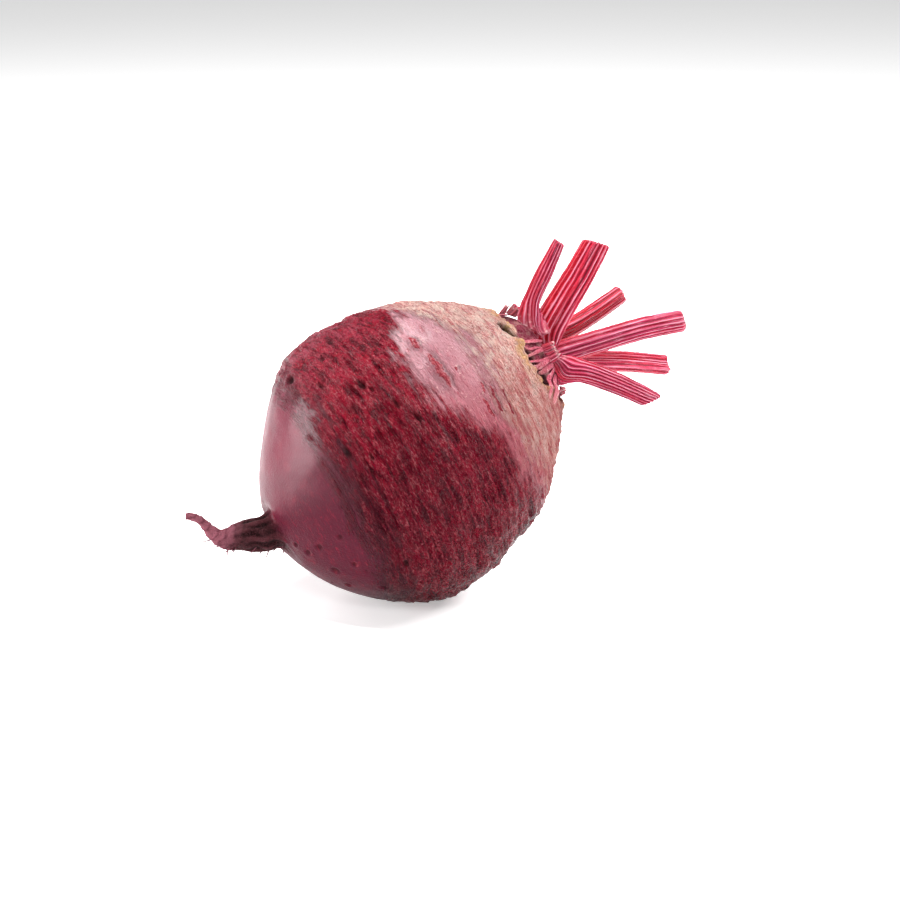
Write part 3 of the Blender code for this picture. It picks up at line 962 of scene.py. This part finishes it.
class OBJECT_OT_beet_root(bpy.types.Operator):
    """Build the beetroot's swollen root with its skin, torn crown and tail"""

    bl_idname = "object.beet_root"
    bl_label = "Root"

    def execute(self, context):
        sizes, colours = context.scene.beet_sizes, context.scene.beet_colours
        piece = copy_of("root")
        even_mesh(piece, sizes.skin_grain)
        points, _ = read(piece.data)
        refine(piece, to_axes(points)[:, 2] < -40.0)
        mesh = piece.data
        points, _ = read(mesh)
        ends = edges_of(mesh)
        points = to_axes(points)
        body = ease(points[:, 2], -47, -40)
        points = soften(points, ends, 0.5 * body + 0.35 * (1 - body) * ease(points[:, 2], -60, -44) + 0.12, 4)
        points = soften(points, ends, 0.5 * body, 26)
        write(mesh, from_axes(points))

        points, normals = read_axes(mesh)
        tail_only = points[:, 2] < TAIL_START
        tips = np.flatnonzero(tail_only & (points[:, 0] > points[tail_only, 0].max() - 1.2) & (points[:, 2] < -50))
        if len(tips) == 0:
            raise RuntimeError("the taproot's tip was not found")
        both = tail_only[ends[:, 0]] & tail_only[ends[:, 1]]
        away = walk(points, ends[both], tips)
        m = root_masks(points, away)
        reach, turn = crown_polar(points)
        edge = torn_edge(turn, points)
        up, near, out = points.T
        smooth = 1 - np.clip(m["rough"] + m["cork"] + m["tail"], 0, 1)
        m["rough"] = np.maximum(m["rough"], 0.55 * m["sheen"])

        lift = 0.40 * grain(points, 11.0, 11, 2) * (0.5 + m["rough"]) * (1 - m["tail"])
        ringed = points * (0.17, 0.17, 1.0)
        bent = ringed + 0.5 * grain(points, 6.0, 12, 1)[:, None]
        wrinkle = 1 - np.abs(grain(bent, 1.7, 13, 2)) * 2.4
        row = 1 - np.abs(grain(bent * (0.5, 0.5, 1.0), 2.8, 14, 1)) * 2.4
        knot = grain(points * (0.6, 0.6, 1.0), 2.0, 15, 2)
        bold = ease(m["rough"], 0.15, 0.8) * (1 - 0.9 * ease(m["bloom"], 0.2, 0.7))
        lift += sizes.wrinkle * MM * bold * (0.75 * wrinkle + 0.55 * row + 0.35 * knot)
        crack = 1 - np.abs(grain(points * (0.22, 0.22, 1.0), 1.9, 17, 2)) * 2.6
        lift += sizes.crust * MM * m["cork"] * (1 - m["torn"]) * (0.6 * crack + 0.9 * grain(points, 1.7, 19, 2))
        lift += 0.05 * grain(points, 3.0, 21, 2) * smooth

        hollow = np.zeros(len(points))
        scar = np.zeros(len(points))
        for a, b, close, (place, _, long, wide, height, strength) in marks(points, normals, SCARS, 10):
            b = b + 0.25 * np.sin(a * 1.4) + 0.12 * grain(points, 1.3, 23, 1)
            width = wide * (0.75 + 0.35 * np.sin(a * 2.3 + place) ** 2)
            ridge = patch(a, b, long, width * 2.0, 0.45) * close
            groove = patch(a, b - 0.9 * wide, long * 1.05, wide * 1.3, 0.5) * close
            lift += height * ridge - 0.30 * height * groove
            scar = np.maximum(scar, strength * patch(a, b, long * 0.96, width * 1.5, 0.4) * close)
            # The groove beside each raised scar is darkened: a painted shadow of the scar.
            hollow = np.maximum(hollow, 0.75 * strength * groove * (1 - ridge))
        for a, b, close, (_, _, long, wide, depth, dark) in marks(points, normals, HOLLOWS, 8):
            shape = patch(a + 0.5 * knot, b + 0.3 * knot, long, wide, 0.5) * close
            collar = patch(a, b, long * 1.9, wide * 2.1, 0.5) * close
            lift += 0.35 * depth * (collar - shape) - depth * shape
            hollow = np.maximum(hollow, dark * shape)
        for a, b, close, (_, _, size) in marks(points, normals, SORES, 5):
            shape = patch(a + 0.4 * knot, b + 0.3 * knot, size, size, 0.6) * close
            collar = patch(a, b, size * 2.1, size * 2.1, 0.5) * close
            lift += 0.14 * (collar - shape) - SORE_DEPTH * shape
            scar = np.maximum(scar, 0.40 * ease(collar, 0.5, 1.0) * ease(knot, -0.2, 0.4))
            hollow = np.maximum(hollow, 0.62 * ease(shape, 0.2, 0.8))
        draw = np.random.default_rng(7)
        spread = ((70, 290), (-36, 6), (0.9, 1.7), (0.7, 1.1))  # degrees round, mm along, length, width in mm
        pits = [tuple(draw.uniform(*limits) for limits in spread) for _ in range(PITS)]
        for a, b, close, (_, _, long, wide) in marks(points, normals, pits, 4):
            shape = patch(a, b, long, wide, 0.6) * close
            lift -= PIT_DEPTH * shape
            hollow = np.maximum(hollow, 0.44 * shape)

        high = ease(out, CROWN_START, CROWN_START + 6)
        lip = bell(reach - edge - 0.7, 0.8) * high
        inside = (1 - ease(reach, edge - 0.9, edge)) * high
        moat = inside * ease(reach, 12.5, 15.5)
        spokes = np.cos(np.radians(turn) * 44 + 2.2 * grain(points, 4.0, 27, 1))
        lift += sizes.lip * MM * lip * (0.65 + 0.7 * grain(points, 1.9, 25, 1))
        lift += moat * (-0.75 + 0.26 * spokes + 0.30 * grain(points, 1.6, 29, 2))
        for place, distance, long, wide, depth in CAVITIES:
            a = turned(turn - place) * math.pi / 180 * reach
            shape = patch(a + 0.7 * knot, reach - distance + 0.5 * knot, long, wide, 0.40) * high
            lift -= depth * shape
            hollow = np.maximum(hollow, np.clip(1.9 * shape, 0, 1))
        crumb = patch(turned(turn - 54) * math.pi / 180 * reach, reach - 20.6, 2.6, 2.0, 0.5) * high
        lift += 1.0 * crumb
        m["rim"] = np.maximum(m["rim"], crumb)
        m["torn"] = m["torn"] * (1 - crumb)
        side = bell(turned(np.degrees(np.arctan2(near, up)) - 150), 55)
        notch = bell(out + 44.2, 2.0) * side
        lift -= 2.1 * notch + 0.5 * bell(out + 43.6, 1.6)
        hollow = np.maximum(hollow, 0.35 * moat * ease(grain(points, 2.2, 31, 2), 0.0, 0.5))

        here = tail_only & (away < TAIL_LENGTH)
        middles, places = spine_of(points, np.where(here, away, FAR), 1.6, here)
        x, y = along_spine(points, np.minimum(away, TAIL_LENGTH), middles, places)
        around = np.arctan2(y, x)
        folds = np.cos(around * 7 + 1.6 * grain(points, 6.0, 33, 1) + 0.05 * away)
        folds = 0.6 * folds + 0.6 * np.cos(around * 12 + 2.4 * grain(points, 4.0, 35, 1))
        rings = 1 - np.abs(np.sin(away * 1.15 + 0.9 * np.sin(around) + 1.1 * grain(points, 3.0, 37, 1))) * 1.6
        thick = ease(away, 10, 26)
        base = m["tail"] * thick
        thin = ease(m["tail"], 0.70, 0.95)
        bulge = grain(points, 5.0, 38, 1)
        folded = sizes.fold * MM * base * (folds * 0.7 + bulge) + 0.16 * thin * rings
        lift += np.where(here, folded + 0.10 * m["tail"] * grain(points, 1.0, 39, 2), 0)
        # This value is low in the fold troughs, where the bark is painted near-black as painted shade; near the tip
        # it follows the rings.
        flow = np.where(here, np.clip(0.5 + 0.42 * folds * thick - 0.20 * rings * thin, 0, 1), 0.5)

        points = points + normals * lift[:, None]
        low, top = (np.array(corner) for corner in CAD_BOX)
        moved = np.clip(from_axes(points), low - PAST_BOX, top + PAST_BOX)
        moved[:, 2] = np.maximum(moved[:, 2], 0.0)
        write(mesh, moved)
        m.update(scar=scar, hollow=np.clip(hollow, 0, 1), flow=flow)
        for name, values in m.items():
            keep(mesh, name, values)

        draw = np.random.default_rng(11)
        strands = []
        below = normals @ np.array(AXES @ Vector((0.1, -0.2, -1))) > 0.5
        for _ in range(sizes.rootlets):
            at = draw.uniform(8, 34)
            choice = np.flatnonzero(here & (np.abs(away - at) < 1.5) & below)
            if len(choice) == 0:
                continue
            v = int(draw.choice(choice))
            way = normals[v] + draw.normal(0, 0.35, 3)
            way /= np.linalg.norm(way)
            span = draw.uniform(2.0, 5.5)
            bend = draw.normal(0, 0.5, 3)
            t = np.linspace(0, 1, 9)[:, None]
            path = points[v] - normals[v] * 0.4 + way * span * t + bend * span * 0.5 * t**2
            world = from_axes(path)
            world[:, 2] = np.maximum(world[:, 2], 0.0003)
            world[:, 0] = np.maximum(world[:, 0], low[0] + 0.0004)
            path = to_axes(world)
            strands.append(strand(path, np.linspace(0.26, 0.07, 9)))
        values = dict.fromkeys(m, 0.0)
        values.update(tail=0.9, flow=0.6)
        add_strands(piece, strands, values)
        hand_over(piece, skin_paint(colours), "root")
        return {"FINISHED"}


# ---------------------------------------------------------------- stalks and stubs


def ribbed(piece, ribs, depth, swell, grain_size, ragged, seed, slim=0.0):
    """Ribs a stalk along its length and keeps the places that its material needs; sizes in mm."""
    even_mesh(piece, grain_size)
    mesh = piece.data
    points, _ = read(mesh)
    ends = edges_of(mesh)
    points = soften(to_axes(points), ends, 0.5, 7)
    write(mesh, from_axes(points))
    points, normals = read_axes(mesh)

    outward = points.mean(0) - (CROWN - np.array((0, 0, 8.0)))
    outer = points[(points - CROWN) @ outward > np.median((points - CROWN) @ outward)]
    outward = outer.mean(0) - points.mean(0)
    outward /= np.linalg.norm(outward)
    far = points @ outward
    span = far.max() - far.min()
    cap = (normals @ outward > 0.62) & (far > far.max() - min(6.0, 0.45 * span))
    starts = np.flatnonzero(cap)
    if len(starts) == 0:
        raise RuntimeError(piece.name + " has no cut end")
    away = walk(points, ends, starts)
    step = 1.5 if span > 12 else 0.8
    middles, places = spine_of(points, away, step)
    x, y = along_spine(points, away, middles, places)
    total = away.max()
    turn = even_turn(x, y, (away > 0.2 * total) & (away < 0.7 * total))
    angle = turn * 2 * np.pi
    sway = grain(np.stack([np.cos(angle) * 2, np.sin(angle) * 2, away * 0.05], 1), 1.0, seed, 2)
    rib = 0.5 + 0.5 * np.cos(angle * ribs + 1.3 * sway)
    ending = 1 - ease(away, 0.1, 0.9)
    foot = ease(away, total - 7.0, total - 2.5) if span > 12 else ease(away, total * 0.5, total)
    lift = (swell * (1 - foot) - depth * (1 - rib ** 0.7) * (1 - 0.55 * foot)) * (1 - 0.35 * ending)
    lift += 0.10 * grain(points, 4.0, seed + 1, 2) * (1 - ending)
    lift += 0.10 * foot * grain(points, 1.1, seed + 2, 2)
    lift -= slim * ease(away, 0.30 * total, 0.70 * total)
    points = points + normals * lift[:, None]
    frayed = np.where(cap | (away < 0.8), 1.0, 0.0) * (0.30 * (rib - 0.6) + 0.16 * grain(points, 0.9, seed + 3, 2))
    points = points + outward * (frayed - 0.1 * ending)[:, None]
    if ragged:
        round_it = np.stack([np.cos(angle) * 3, np.sin(angle) * 3, away * 0], 1)
        bite = ragged * ease(grain(round_it, 1.0, seed + 4, 2), -0.3, 0.6)
        points = points - outward * (bite * (1 - ease(away, 0.2, 2.4)))[:, None]
    write(mesh, from_axes(points))
    fibre = np.stack([np.cos(angle) * FIBRE_RADIUS, np.sin(angle) * FIBRE_RADIUS, away], 1)
    core = np.hypot(x, y)
    fibre[cap, 0], fibre[cap, 1] = x[cap], y[cap]
    keep(mesh, "fibre", fibre)
    keep(mesh, "cut", np.where(cap, 1.0, 0.0) * ease(core, -1, 0.5))
    keep(mesh, "foot", foot)
    torn = 1 - ease(away, 0.4, 2.2) if ragged else 0.6 * foot * ease(grain(points, 1.6, seed + 6, 2), 0.0, 0.5)
    keep(mesh, "torn", torn)


class OBJECT_OT_beet_stalks(bpy.types.Operator):
    """Build the six cut leaf stalks with their ribs and cut ends"""

    bl_idname = "object.beet_stalks"
    bl_label = "Leaf stalks"

    def execute(self, context):
        sizes, colours = context.scene.beet_sizes, context.scene.beet_colours
        for count, (node, (ribs, redness, depth, swell)) in enumerate(STALKS.items()):
            piece = copy_of(node)
            slim = TOP_STALK_SLIM if node == "leaf_stalk_top" else 0.0
            ribbed(piece, ribs, depth, swell, sizes.stalk_grain, 0.0, 100 + 10 * count, slim)
            hand_over(piece, stalk_paint(node + "_flesh", colours, ribs, redness), node)
        return {"FINISHED"}


def on_crown(points, normals, stations, steps):
    """A path over the crown through stations of degrees, distance and lift, with the way up along it."""
    stations = np.array(stations, float)
    t = np.linspace(0, len(stations) - 1, steps)
    turn, distance, lift = (np.interp(t, np.arange(len(stations)), stations[:, k]) for k in range(3))
    reach, angle = crown_polar(points)
    high = points[:, 2] > CROWN_START
    path, tops = [], []
    for a, d, h in zip(turn, distance, lift):
        miss = np.hypot(turned(angle - a) * math.pi / 180 * reach, reach - d) + np.where(high, 0, FAR)
        close = np.argsort(miss)[:24]
        top = normals[close].mean(0)
        tops.append(top / np.linalg.norm(top))
        path.append(points[close].mean(0) + h * tops[-1])
    path, tops = np.array(path), np.array(tops)
    for _ in range(3):
        path[1:-1] = (path[:-2] + 2 * path[1:-1] + path[2:]) / 4
    return path, tops


class OBJECT_OT_beet_fibres(bpy.types.Operator):
    """Build the old leaf bases and torn fibres that cross the crown's edge"""

    bl_idname = "object.beet_fibres"
    bl_label = "Torn fibres"

    def execute(self, context):
        sizes, colours = context.scene.beet_sizes, context.scene.beet_colours
        points, normals = read_axes(bpy.data.objects["root_skin"].data)
        high = points[:, 2] > CROWN_START
        points, normals = points[high], normals[high]
        draw = np.random.default_rng(23)
        rows = [(stations, wide, 22) for stations, wide in SHEATHS]
        for _ in range(sizes.fibres):
            a = draw.uniform(112, 368)
            lean = draw.normal(0, 7)
            lift = draw.uniform(0.5, 1.5)
            reach = draw.uniform(16.0, 19.0)
            stations = ((a, 12.8, lift), (a + lean * 0.4, 14.8, lift * 1.1), (a + lean, reach, 0.25))
            rows.append((stations, draw.uniform(0.25, 0.75), 12))
        strands, along = [], []
        for stations, wide, steps in rows:
            path, tops = on_crown(points, normals, stations, steps)
            t = np.linspace(0, 1, steps)
            sway = 1 + 0.22 * grain(path, 2.2, 51, 2)
            taper = np.sqrt(np.clip(np.sin(np.pi * (0.04 + 0.92 * t)), 0.02, 1))
            radius = wide * SHEATH_WIDTH * taper * sway
            strands.append(strand(path - tops * SHEATH_SINK, radius, SHEATH_SIDES, SHEATH_FLAT, tops))
            along.append(np.r_[np.repeat(t, SHEATH_SIDES), 0.0, 1.0])
        piece = strand_piece("crown_fibres", strands)
        keep(piece.data, "along", np.concatenate(along))
        hand_over(piece, fibre_paint(colours))
        return {"FINISHED"}


class OBJECT_OT_beet_stubs(bpy.types.Operator):
    """Build the withered leaf stubs round the crown, with torn fibres"""

    bl_idname = "object.beet_stubs"
    bl_label = "Leaf stubs"

    def execute(self, context):
        sizes, colours = context.scene.beet_sizes, context.scene.beet_colours
        for count, (node, (withered, ragged)) in enumerate(STUBS.items()):
            piece = copy_of(node)
            ribbed(piece, STUB_RIBS, STUB_GROOVE, 0.0, sizes.stub_grain, ragged, 300 + 10 * count)
            paint = stalk_paint(node + "_flesh", colours, STUB_RIBS, 0.5, withered)
            hand_over(piece, paint, node)
        return {"FINISHED"}


# ---------------------------------------------------------------- the stage


LIGHTS = {
    # name: place from the beetroot's middle in m, width in m, power in W
    "overhead": ((0.10, 0.20, 0.85), 0.36, 9.5),
    "left_glow": ((-0.85, 0.36, 0.16), 0.44, 8.0),
    "right_edge": ((0.70, -0.15, 0.60), 0.50, 12.0),
    "back_rim": ((-0.42, 0.72, 0.50), 0.50, 4.0),
    "front": ((-0.45, -0.75, 0.60), 0.26, 2.6),
    "sparkle": ((-0.25, -0.10, 0.90), 0.07, 4.5),
}
ROOM_LIGHT = 0.18
CAMERA_TURN, CAMERA_RISE = math.radians(-25), math.radians(15)
CAMERA_AWAY = 0.80  # m
LENS, SENSOR = 109.8, 36  # mm


def soft_light(name, place, aim, size, power):
    light = bpy.data.lights.new(name, "AREA")
    light.shape, light.size, light.energy = "DISK", size, power
    lamp = new_object(name, light)
    lamp.location = place
    lamp.rotation_euler = (Vector(aim) - Vector(place)).to_track_quat("-Z", "Y").to_euler()
    lamp.visible_camera = False


class OBJECT_OT_beet_stage(bpy.types.Operator):
    """Build the pale floor, the soft lights and the camera"""

    bl_idname = "object.beet_stage"
    bl_label = "Stage"

    def execute(self, context):
        sizes, colours = context.scene.beet_sizes, context.scene.beet_colours
        bpy.ops.object.select_all(action="DESELECT")
        bpy.ops.mesh.primitive_circle_add(vertices=96, radius=sizes.floor, fill_type="NGON", location=(0, 0, 0))
        floor = context.object
        floor.name = "pale_floor"
        floor.data.materials.append(floor_paint(colours))

        world = bpy.data.worlds.new("soft_room")
        world.use_nodes = True
        ground = world.node_tree.nodes["Background"]
        ground.inputs["Color"].default_value = (1.0, 1.0, 1.0, 1.0)
        ground.inputs["Strength"].default_value = ROOM_LIGHT
        context.scene.world = world
        low, high = CAD_BOX
        aim = (Vector(low) + Vector(high)) / 2
        for name, (place, width, power) in LIGHTS.items():
            soft_light(name, aim + Vector(place), aim, width, power)

        level = math.cos(CAMERA_RISE)
        back = Vector((math.sin(CAMERA_TURN) * level, -math.cos(CAMERA_TURN) * level, math.sin(CAMERA_RISE)))
        right = Vector((math.cos(CAMERA_TURN), math.sin(CAMERA_TURN), 0))
        upward = back.cross(right)
        look = MIDDLE + 0.005 * OUT + right * 0.01166 - upward * 0.00029
        lens = bpy.data.cameras.new("camera")
        lens.sensor_width, lens.lens = SENSOR, LENS
        camera = new_object("camera", lens)
        camera.location = look + back * CAMERA_AWAY
        camera.rotation_euler = (-back).to_track_quat("-Z", "Y").to_euler()
        context.scene.camera = camera
        context.scene.view_settings.view_transform = "Standard"
        return {"FINISHED"}


class VIEW3D_PT_beetroot(bpy.types.Panel):
    """Buttons for each piece of the beetroot"""

    bl_label = "Beetroot"
    bl_space_type = "VIEW_3D"
    bl_region_type = "UI"
    bl_category = "Beetroot"

    def draw(self, context):
        layout = self.layout
        for kind in OPERATORS:
            layout.operator(kind.bl_idname)
        for group in (context.scene.beet_sizes, context.scene.beet_colours):
            box = layout.box()
            for name in group.__annotations__:
                box.prop(group, name)


OPERATORS = (
    OBJECT_OT_beet_root,
    OBJECT_OT_beet_stalks,
    OBJECT_OT_beet_stubs,
    OBJECT_OT_beet_fibres,
    OBJECT_OT_beet_stage,
)
CLASSES = (BeetSizes, BeetColours, *OPERATORS, VIEW3D_PT_beetroot)


def register():
    for kind in CLASSES:
        bpy.utils.register_class(kind)
    bpy.types.Scene.beet_sizes = PointerProperty(type=BeetSizes)
    bpy.types.Scene.beet_colours = PointerProperty(type=BeetColours)


def unregister():
    del bpy.types.Scene.beet_colours
    del bpy.types.Scene.beet_sizes
    for kind in reversed(CLASSES):
        bpy.utils.unregister_class(kind)


def main():
    register()
    bpy.ops.object.beet_root()
    bpy.ops.object.beet_stalks()
    bpy.ops.object.beet_stubs()
    bpy.ops.object.beet_fibres()
    bpy.ops.object.beet_stage()
    bpy.context.view_layer.update()


if __name__ == "__main__":
    main()
